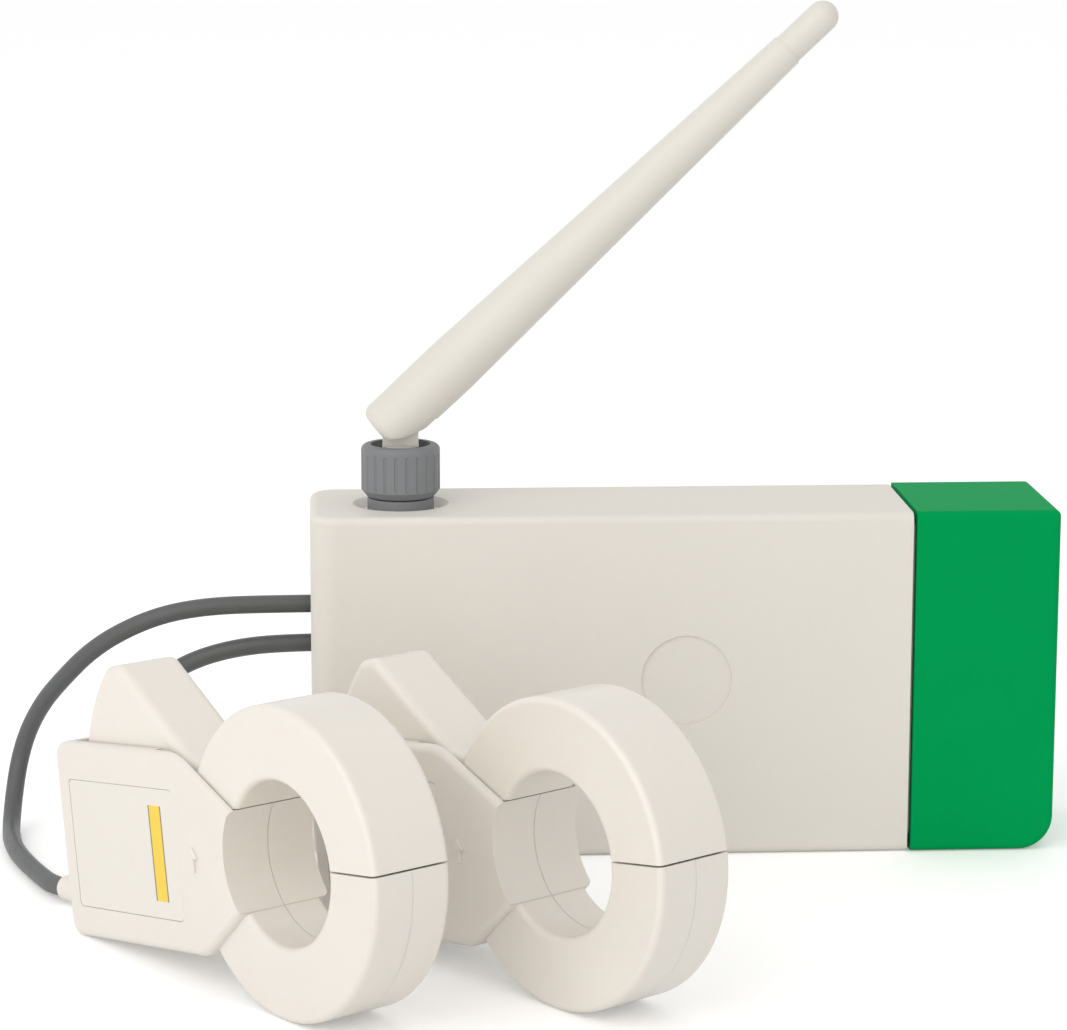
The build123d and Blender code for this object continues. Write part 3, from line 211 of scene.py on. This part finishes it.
class Shader(Nodes):
    """A material's node tree, with the principled shader as its end."""

    def __init__(self, name):
        self.material = bpy.data.materials.new(name)
        self.material.use_nodes = True
        super().__init__(self.material.node_tree)
        self.surface = self.tree.nodes["Principled BSDF"]

    def place(self):
        """Object coordinates, in metres."""
        return Value(self, self.node("TexCoord").outputs["Object"])

    def axes(self, place):
        """The three coordinates of a place."""
        made = self.node("SeparateXYZ", inputs={0: place})
        return [Value(self, output) for output in made.outputs]

    def along(self, place, origin, direction):
        """Distance of a place from an origin along a direction, in metres."""
        moved = self.node("VectorMath", {"operation": "SUBTRACT"}, {0: place, 1: origin})
        offset = Value(self, moved.outputs["Vector"])
        made = self.node("VectorMath", {"operation": "DOT_PRODUCT"}, {0: offset, 1: direction})
        return Value(self, made.outputs["Value"])

    def noise(self, place, scale, detail=3.0, rough=0.55):
        """Cloudy noise from 0 to 1. scale is in patches per metre."""
        inputs = {"Vector": place, "Scale": scale, "Detail": detail, "Roughness": rough}
        return Value(self, self.node("TexNoise", inputs=inputs).outputs[0])

    def mix(self, share, low, high):
        """Colour mix from low to high: inputs 0, 6 and 7 are the factor and the two colours."""
        made = self.node("Mix", {"data_type": "RGBA"}, {0: share, 6: low, 7: high})
        return Value(self, made.outputs[2])

    def bump(self, height, depth):
        """Surface relief of a depth in metres."""
        made = self.node("Bump", inputs={"Height": height, "Distance": depth, "Strength": 1.0})
        self.link(Value(self, made.outputs["Normal"]), self.surface.inputs["Normal"])

    def finish(self, **inputs):
        """Set the principled shader's inputs by name and give the material back."""
        for key, value in inputs.items():
            self.link(value, self.surface.inputs[key.replace("_", " ")])
        return self.material


def tint(colour, factor):
    """A colour made lighter or darker by a factor."""
    return tuple(min(1.0, channel * factor) for channel in colour)


def plastic_finish(shader, shade, rough, fine, flow, coat, scatter, gloss):
    """Plastic whose roughness follows its fine grain and, half as much, its flow marks."""
    swing = (fine - 0.5) * ROUGH_SWING + (flow - 0.5) * (ROUGH_SWING / 2)
    return shader.finish(
        Base_Color=shade,
        Roughness=(rough + swing).clamped(),
        Coat_Weight=coat,
        Subsurface_Weight=scatter,
        Subsurface_Scale=SCATTER_DEPTH,
        Specular_IOR_Level=gloss,
        IOR=PLASTIC_IOR,
    )


def moulded(
    name, colour, rough, grain=2600.0, depth=2.0e-5, vary=0.04, coat=0.0, scatter=0.0, gloss=0.5
):
    """Injection moulded plastic: a fine spark grain, slow flow marks and uneven gloss."""
    shader = Shader(name)
    place = shader.place()
    flow = shader.noise(place, FLOW_PATCHES, 4.0)
    fine = shader.noise(place, grain, 2.0, 0.7)
    shade = shader.mix(flow, tint(colour, 1.0 - vary), tint(colour, 1.0 + vary))
    shader.bump(fine + flow * 0.6, depth)
    return plastic_finish(shader, shade, rough, fine, flow, coat, scatter, gloss)


def clamp_plastic(name, clamp, colour):
    """Polished ivory plastic, with the fine lines where the clamp's mouldings meet.

    In the clamp's own axes one line lies at z = 0. Its strength is SEAM_STRENGTH - d / SEAM_SPREAD,
    d being the distance from that plane, and twice that in the wall of the bore, where x < 0. In
    that wall a second line lies at y = FOOT_LINE_Y, with a strength of 1 - d / FOOT_LINE_SPREAD.
    """
    shader = Shader(name)
    origin, across, up, out = CLAMPS[clamp]
    place = shader.place()
    flow = shader.noise(place, FLOW_PATCHES, 4.0)
    fine = shader.noise(place, 1500.0, 2.0, 0.7)
    x = shader.along(place, origin, across)
    y = shader.along(place, origin, up)
    z = shader.along(place, origin, out)
    wall = ((x * x + y * y) < BORE_REACH**2) * (x < 0.0)
    seam = (SEAM_STRENGTH - abs(z) / SEAM_SPREAD).clamped()
    foot = (1.0 - abs(y - FOOT_LINE_Y) / FOOT_LINE_SPREAD).clamped() * wall
    line = seam * (1.0 + wall) + foot
    shade = shader.mix(flow, tint(colour, 0.98), tint(colour, 1.02))
    shader.bump(fine * 0.25 + flow * 0.15 - line * 0.9, 1.0e-4)
    lined = shader.mix(line * 0.25, shade, SEAM_SHADE)
    return plastic_finish(shader, lined, 0.33, fine, flow, coat=0.18, scatter=0.08, gloss=0.5)


def metal(name, colour, rough, stretch=(30.0, 30.0, 900.0)):
    """Turned or drawn metal: fine lines across one axis, with small stains."""
    shader = Shader(name)
    place = shader.place()
    stretched = shader.node("Mapping", inputs={"Vector": place, "Scale": stretch})
    lines = shader.noise(Value(shader, stretched.outputs["Vector"]), 18.0, 4.0, 0.7)
    stain = shader.noise(place, 120.0, 3.0)
    shader.bump(lines, 8.0e-6)
    return shader.finish(
        Base_Color=shader.mix(stain, tint(colour, 0.82), tint(colour, 1.05)),
        Metallic=1.0,
        Roughness=(rough + (lines - 0.5) * 0.25 + (stain - 0.5) * 0.1).clamped(),
    )


def board(name, colour):
    """Solder mask over copper tracks, with rows of small tinned pads."""
    shader = Shader(name)
    place = shader.place()
    x, _, z = shader.axes(place)
    track = ((x * 2600.0).sine() * 0.5 + (z * 900.0).sine()) > 0.55
    pad = ((x * 1240.0).sine() * (z * 1240.0).sine()) > 0.86
    mask = shader.mix(track, colour, tint(colour, 1.7))
    cloud = shader.noise(place, 300.0)
    shader.bump(track + pad * 1.4 + cloud * 0.2, 3.0e-5)
    return shader.finish(
        Base_Color=shader.mix(pad, mask, (0.72, 0.72, 0.70)),
        Roughness=(0.32 + (cloud - 0.5) * 0.2).clamped(),
        Metallic=pad * 0.8,
        Coat_Weight=0.3,
    )


def ferrite(name):
    """Ground ferrite: dark grey with fine speckle."""
    shader = Shader(name)
    place = shader.place()
    speck = shader.noise(place, 5200.0, 2.0, 0.8)
    cloud = shader.noise(place, 160.0)
    shade = shader.mix(speck, (0.035, 0.036, 0.04), (0.13, 0.13, 0.135))
    shader.bump(speck, 2.0e-5)
    return shader.finish(Base_Color=shade, Roughness=(0.55 + (cloud - 0.5) * 0.3).clamped())


def winding(name):
    """Enamelled wire wound in close turns up the limb, with painted shade in the grooves between
    the turns. Both clamps lean alike, so one axis does.
    """
    shader = Shader(name)
    place = shader.place()
    height = shader.along(place, CLAMPS["ct1"][0], CLAMPS["ct1"][2])
    turn_relief_and_shade = abs((height * 9500.0).sine())
    cloud = shader.noise(place, 400.0)
    shader.bump(turn_relief_and_shade, 1.2e-4)
    return shader.finish(
        # Painted shade: the colour runs from copper on each turn's crown to dark brown in the
        # grooves between turns.
        Base_Color=shader.mix(turn_relief_and_shade * (cloud * 0.4 + 0.6), (0.16, 0.05, 0.02), (0.62, 0.28, 0.12)),
        Metallic=0.6,
        Roughness=0.35,
    )


def sheath(name, colour):
    """Extruded cable jacket: satin, with faint dust."""
    shader = Shader(name)
    place = shader.place()
    dust = shader.noise(place, 700.0, 4.0, 0.6)
    cloud = shader.noise(place, 60.0)
    shader.bump(dust, 2.5e-5)
    return shader.finish(
        Base_Color=shader.mix(
            (dust * 0.5 + cloud * 0.5).clamped(), tint(colour, 0.86), tint(colour, 1.12)
        ),
        Roughness=(0.44 + (dust - 0.5) * 0.25).clamped(),
        Specular_IOR_Level=0.4,
    )


def label_film(name, clamp, band_colour):
    """Blank printed film: pale stock with one plain band between thin dark rules at its sides."""
    shader = Shader(name)
    origin, across, up, _ = CLAMPS[clamp]
    place = shader.place()
    x = shader.along(place, origin, across) / MILLIMETRE
    y = shader.along(place, origin, up) / MILLIMETRE
    within = (y > BAND_Y[0]) * (y < BAND_Y[1])
    band = (x > BAND_X[0]) * (x < BAND_X[1]) * within
    ruled = (x > BAND_X[0] - RULE_WIDTH) * (x < BAND_X[1] + RULE_WIDTH) * within
    fibre = shader.noise(place, 3000.0, 3.0)
    stock = shader.mix(fibre, (0.745, 0.71, 0.65), (0.785, 0.75, 0.69))
    shade = shader.mix(band, stock, band_colour)
    shader.bump(fibre, 8.0e-6)
    return shader.finish(
        Base_Color=shader.mix((ruled - band).clamped(), shade, RULE_INK),
        Roughness=(0.42 + (fibre - 0.5) * 0.2).clamped(),
    )


def make_materials(settings):
    """One procedural material for each finish, keyed by the record's material slot."""
    return {
        "white_shell": moulded(
            "white_shell", settings.shell_colour, 0.5, grain=3400.0, depth=2.2e-5,
            vary=0.018, gloss=0.3,
        ),
        "green_cap": moulded(
            "green_cap", settings.cap_colour, 0.5, grain=3000.0, depth=2.2e-5, vary=0.05,
            gloss=0.02,
        ),
        "ivory_clamp": moulded(
            "ivory_clamp", settings.jaw_colour, 0.33, grain=1500.0, depth=2.4e-5, vary=0.02,
            coat=0.18, scatter=0.08, gloss=0.5,
        ),
        "grey_nylon": moulded(
            "grey_nylon", settings.collar_colour, 0.52, grain=3200.0, depth=3.0e-5, vary=0.07,
            gloss=0.4,
        ),
        "antenna_white": moulded(
            "antenna_white", settings.antenna_colour, 0.4, grain=900.0, depth=3.0e-5,
            vary=0.025, coat=0.05, gloss=0.35,
        ),
        "grey_cable": sheath("grey_cable", settings.lead_colour),
        "boot_white": moulded("boot_white", (0.80, 0.755, 0.68), 0.45, vary=0.03, gloss=0.35),
        "plug_black": moulded("plug_black", (0.02, 0.02, 0.022), 0.42, vary=0.1),
        "terminal_green": moulded(
            "terminal_green", (0.04, 0.27, 0.13), 0.45, grain=3800.0, vary=0.08
        ),
        "board_green": board("board_green", (0.012, 0.115, 0.042)),
        "core_iron": ferrite("core_iron"),
        "bobbin_black": moulded("bobbin_black", (0.025, 0.025, 0.03), 0.5, vary=0.1),
        "copper_wire": winding("copper_wire"),
        "steel": metal("steel", (0.56, 0.56, 0.57), 0.28),
        "brass": metal("brass", (0.72, 0.52, 0.22), 0.26),
        "screen_tin": metal("screen_tin", (0.66, 0.67, 0.69), 0.34, (600.0, 20.0, 20.0)),
        "capacitor_black": moulded("capacitor_black", (0.018, 0.018, 0.03), 0.25, vary=0.1),
        "label_blank": label_film("label_ct1", "ct1", settings.band_colour),
    }


def dress_nodes(settings):
    """Give every CAD node the material of its slot, and each clamp's body its own lined one."""
    materials = make_materials(settings)
    nodes = frame["nodes"]
    for row in frame["record"]["subparts"]:
        mesh = nodes[row["node"]].data
        mesh.materials.clear()
        mesh.materials.append(materials[row["material_slot"]])
    nodes["ct2_label"].data.materials[0] = label_film("label_ct2", "ct2", settings.band_colour)
    for clamp in CLAMPS:
        body = clamp_plastic(f"ivory_{clamp}_body", clamp, settings.clamp_colour)
        for half in ("front", "rear"):
            nodes[f"{clamp}_body_{half}"].data.materials[0] = body


def make_lead(clamp, diameter, material):
    """The lead's jacket: a circle carried along a chain of parabolas that the route guides."""
    route = LEAD_ROUTES[clamp]
    curve = bpy.data.curves.new(f"{clamp}_lead", "CURVE")
    curve.dimensions = "3D"
    spline = curve.splines.new("NURBS")
    spline.points.add(len(route) - 1)
    flat = np.ones((len(route), 4), dtype=np.float32)
    flat[:, :3] = route
    spline.points.foreach_set("co", flat.ravel())
    spline.order_u = 3
    spline.use_endpoint_u = True
    spline.resolution_u = 8
    curve.bevel_depth = diameter / 2
    curve.bevel_resolution = 6
    obj = bpy.data.objects.new(f"{clamp}_lead", curve)
    bpy.context.scene.collection.objects.link(obj)
    obj.data.materials.append(material)
    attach(obj, "unit")
    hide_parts(f"{clamp}_cable")
    return obj


def make_arrow(clamp, height, material):
    """A small raised arrow on the clamp's front face, pointing up the clamp.

    The outline p is repeated at three heights z over the face as s p + middle, with (z, s) =
    (-ARROW_SINK, 1), (0.7 height, 1) and (height, ARROW_TOP_SCALE), which bevels its top edge.
    Neighbouring outlines are joined by four-cornered faces, and the top one is closed.
    """
    outline = np.array(ARROW_OUTLINE)
    rise = np.array([-ARROW_SINK, 0.7 * height, height])
    scale = np.array([1.0, 1.0, ARROW_TOP_SCALE])
    flat = outline * scale[:, None, None] + ARROW_MIDDLE
    lifted = np.broadcast_to((FRONT_FACE_Z + rise)[:, None, None], (*flat.shape[:2], 1))
    origin, across, up, out = (np.array(row) for row in CLAMPS[clamp])
    local = np.concatenate([flat, lifted], axis=2).reshape(-1, 3) * MILLIMETRE
    points = local @ np.stack([across, up, out]) + origin

    count = len(outline)
    corner = np.arange(count)
    after = (corner + 1) % count
    level = np.arange(len(rise) - 1)[:, None] * count
    sides = np.stack(
        [level + corner, level + after, level + count + after, level + count + corner], axis=2
    )
    top = corner + (len(rise) - 1) * count
    mesh = bpy.data.meshes.new(f"{clamp}_arrow")
    mesh.from_pydata(points.tolist(), [], [*sides.reshape(-1, 4).tolist(), top.tolist()])
    mesh.materials.append(material)
    obj = bpy.data.objects.new(f"{clamp}_arrow", mesh)
    bpy.context.scene.collection.objects.link(obj)
    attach(obj, "unit")
    return obj


def make_floor(size, colour):
    """A wide pale floor under the object, that the camera sees near white outside shadows."""
    half = size / 2
    mesh = bpy.data.meshes.new("studio_floor")
    corners = [(-half, -half, 0), (half, -half, 0), (half, half, 0), (-half, half, 0)]
    mesh.from_pydata(corners, [], [(0, 1, 2, 3)])
    shader = Shader("studio_floor")
    cloud = shader.noise(shader.place(), 2.0)
    shade = shader.mix(cloud, tint(colour, 0.995), colour)
    glow = shader.mix(shader.seen(), (0.0, 0.0, 0.0), (1.0, 1.0, 1.0))
    mesh.materials.append(
        shader.finish(
            Base_Color=shade, Roughness=0.8, Emission_Color=glow, Emission_Strength=FLOOR_GLOW
        )
    )
    obj = bpy.data.objects.new("studio_floor", mesh)
    bpy.context.scene.collection.objects.link(obj)
    obj.location = (0.0, 0.0, -0.0001)


def make_surround(strength):
    """A white world of a set strength, that the camera, gloss and glass see as plain white."""
    world = bpy.data.worlds.new("surround")
    world.use_nodes = True
    nodes = Nodes(world.node_tree)
    background = world.node_tree.nodes["Background"]
    nodes.link((1.0, 1.0, 1.0), background.inputs["Color"])
    nodes.link(nodes.seen() * (1.0 - strength) + strength, background.inputs["Strength"])
    bpy.context.scene.world = world


def make_light(name, place, target, size, power, colour=(1.0, 1.0, 1.0)):
    """A square soft light that looks at a point."""
    data = bpy.data.lights.new(name, "AREA")
    data.size = size
    data.energy = power
    data.color = colour
    obj = bpy.data.objects.new(name, data)
    bpy.context.scene.collection.objects.link(obj)
    obj.location = place
    aim = Vector(target) - Vector(place)
    obj.rotation_euler = aim.to_track_quat("-Z", "Y").to_euler()


def make_camera(place, yaw, pitch, roll, lens):
    """A camera at a place in metres, turned by its yaw, pitch and roll in degrees."""
    data = bpy.data.cameras.new("camera")
    data.lens = lens
    data.sensor_width = 36.0
    data.clip_end = 50.0
    obj = bpy.data.objects.new("camera", data)
    bpy.context.scene.collection.objects.link(obj)
    obj.location = place
    obj.rotation_euler = (
        math.radians(90.0 - pitch), math.radians(roll), -math.radians(yaw)
    )
    bpy.context.scene.camera = obj


def colour_setting(name, description, default):
    """A colour that the user may change."""
    return bpy.props.FloatVectorProperty(
        name=name, description=description, default=default, subtype="COLOR", min=0.0, max=1.0
    )


class MonitorSettings(bpy.types.PropertyGroup):
    """Colours and sizes of the dressed pieces, and the studio."""

    shell_colour: colour_setting("Shell", "Colour of the housing", (0.755, 0.72, 0.66))
    cap_colour: colour_setting("Cap", "Colour of the end cap", (0.0, 0.32, 0.084))
    clamp_colour: colour_setting("Clamps", "Colour of the clamp bodies", (0.765, 0.722, 0.662))
    jaw_colour: colour_setting("Jaws", "Colour of the moving jaws", (0.785, 0.74, 0.675))
    band_colour: colour_setting("Band", "Colour of the band on the labels", (0.86, 0.60, 0.05))
    collar_colour: colour_setting("Collar", "Colour of the antenna nut", (0.205, 0.212, 0.222))
    antenna_colour: colour_setting("Antenna", "Colour of the antenna", (0.705, 0.68, 0.62))
    lead_colour: colour_setting("Leads", "Colour of the lead jackets", (0.098, 0.103, 0.102))
    lead_diameter: bpy.props.FloatProperty(
        name="Lead diameter", description="Jacket diameter of the two leads",
        default=0.0032, unit="LENGTH", min=0.0005, max=0.01,
    )
    arrow_height: bpy.props.FloatProperty(
        name="Arrow relief", description="Height of the raised arrows, in millimetres",
        default=0.45, min=0.05, max=0.6,
    )
    floor_size: bpy.props.FloatProperty(
        name="Floor size", description="Side of the square floor",
        default=60.0, unit="LENGTH", min=2.0, max=200.0,
    )
    lens: bpy.props.FloatProperty(
        name="Lens", description="Focal length of the photograph's camera, in millimetres",
        default=120.2, unit="CAMERA", min=20.0, max=400.0,
    )
    world_strength: bpy.props.FloatProperty(
        name="Surround", description="Strength of the white surround light",
        default=0.76, min=0.0, max=4.0,
    )


class MONITOR_OT_materials(bpy.types.Operator):
    """Give every solid its procedural material."""

    bl_idname = "monitor.materials"
    bl_label = "Materials"

    def execute(self, context):
        dress_nodes(context.scene.monitor_settings)
        return {"FINISHED"}


class MONITOR_OT_leads(bpy.types.Operator):
    """Lay the two clamp leads along their routes."""

    bl_idname = "monitor.leads"
    bl_label = "Leads"

    def execute(self, context):
        settings = context.scene.monitor_settings
        for clamp in LEAD_ROUTES:
            finish = frame["nodes"][f"{clamp}_cable"].data.materials[0]
            make_lead(clamp, settings.lead_diameter, finish)
        return {"FINISHED"}


class MONITOR_OT_arrows(bpy.types.Operator):
    """Raise the direction arrow on each clamp."""

    bl_idname = "monitor.arrows"
    bl_label = "Arrows"

    def execute(self, context):
        settings = context.scene.monitor_settings
        for clamp in CLAMPS:
            finish = frame["nodes"][f"{clamp}_body_front"].data.materials[0]
            make_arrow(clamp, settings.arrow_height, finish)
        return {"FINISHED"}


class MONITOR_OT_stage(bpy.types.Operator):
    """Set the floor, the lights, the surround and the camera."""

    bl_idname = "monitor.stage"
    bl_label = "Stage"

    def execute(self, context):
        settings = context.scene.monitor_settings
        make_floor(settings.floor_size, (0.92, 0.92, 0.92))
        make_light("key", (-0.62, -0.75, 0.72), LAMP_TARGET, 1.0, 4.4, LAMP_COLOUR)
        make_light("low", (-0.25, -0.8, 0.03), LAMP_TARGET, 0.5, 1.05, LAMP_COLOUR)
        make_light("top", (0.1, 0.5, 1.5), (0.0, 0.0, 0.03), 0.9, 0.8)
        make_surround(settings.world_strength)
        context.scene.view_settings.view_transform = "Standard"
        make_camera(CAMERA_PLACE, *CAMERA_TURN, settings.lens)
        return {"FINISHED"}


class MONITOR_PT_panel(bpy.types.Panel):
    """Sidebar panel with the monitor's steps and sizes."""

    bl_idname = "MONITOR_PT_panel"
    bl_label = "Energy monitor"
    bl_space_type = "VIEW_3D"
    bl_region_type = "UI"
    bl_category = "Monitor"

    def draw(self, context):
        settings = context.scene.monitor_settings
        for name in MonitorSettings.__annotations__:
            self.layout.prop(settings, name)
        for operator in OPERATORS:
            self.layout.operator(operator.bl_idname)


OPERATORS = (
    MONITOR_OT_materials,
    MONITOR_OT_leads,
    MONITOR_OT_arrows,
    MONITOR_OT_stage,
)
CLASSES = (MonitorSettings, *OPERATORS, MONITOR_PT_panel)


def register():
    """Register the classes and the scene's settings."""
    for cls in CLASSES:
        bpy.utils.register_class(cls)
    bpy.types.Scene.monitor_settings = bpy.props.PointerProperty(type=MonitorSettings)


def unregister():
    """Take the classes and the settings away again."""
    del bpy.types.Scene.monitor_settings
    for cls in reversed(CLASSES):
        bpy.utils.unregister_class(cls)


def main():
    """Build the scene."""
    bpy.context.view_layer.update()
    register()
    bpy.ops.monitor.materials()
    bpy.ops.monitor.leads()
    bpy.ops.monitor.arrows()
    bpy.ops.monitor.stage()


if __name__ == "__main__":
    main()
